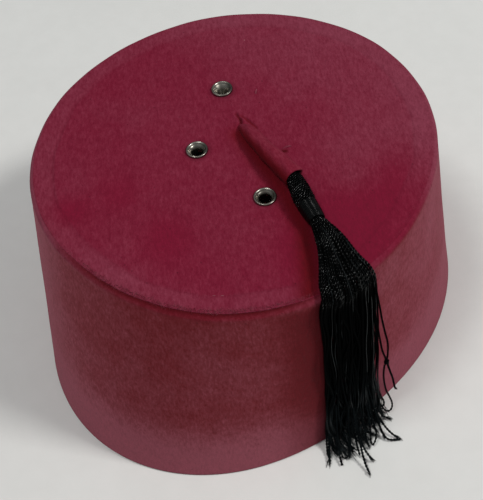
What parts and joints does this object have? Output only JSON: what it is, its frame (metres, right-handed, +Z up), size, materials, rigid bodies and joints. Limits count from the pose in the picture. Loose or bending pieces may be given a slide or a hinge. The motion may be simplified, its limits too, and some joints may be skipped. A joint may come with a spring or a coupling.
{
  "type": "fez hat",
  "caption": "Stiff felt fez: tapered oval wall, flat round top with metal eyelets, and a black tassel that hangs from a felt stem over the side.",
  "frame": {"origin": "middle of the footprint of the hat and its tassel, at the level that the rim stands on", "axes": "+Z up through the flat top; the rim's oval is longest along Y, and the wearer looks along -Y; the tassel falls on the +X side, the wearer's left"},
  "size_m": [0.1848, 0.2026, 0.1082],
  "materials": {
    "wall_felt": "short-napped crimson felt",
    "top_felt": "short-napped crimson felt",
    "stem_felt": "short-napped crimson felt",
    "nickel": "nickel plate, polished and slightly dulled",
    "black_thread": "twisted silky thread"
  },
  "bodies": {
    "root": {"crown_side": "wall_felt", "crown_top": "top_felt", "stem": "stem_felt", "eyelet_back": "nickel", "eyelet_middle": "nickel", "eyelet_front": "nickel", "tassel": "black_thread"}
  },
  "joints": []
}
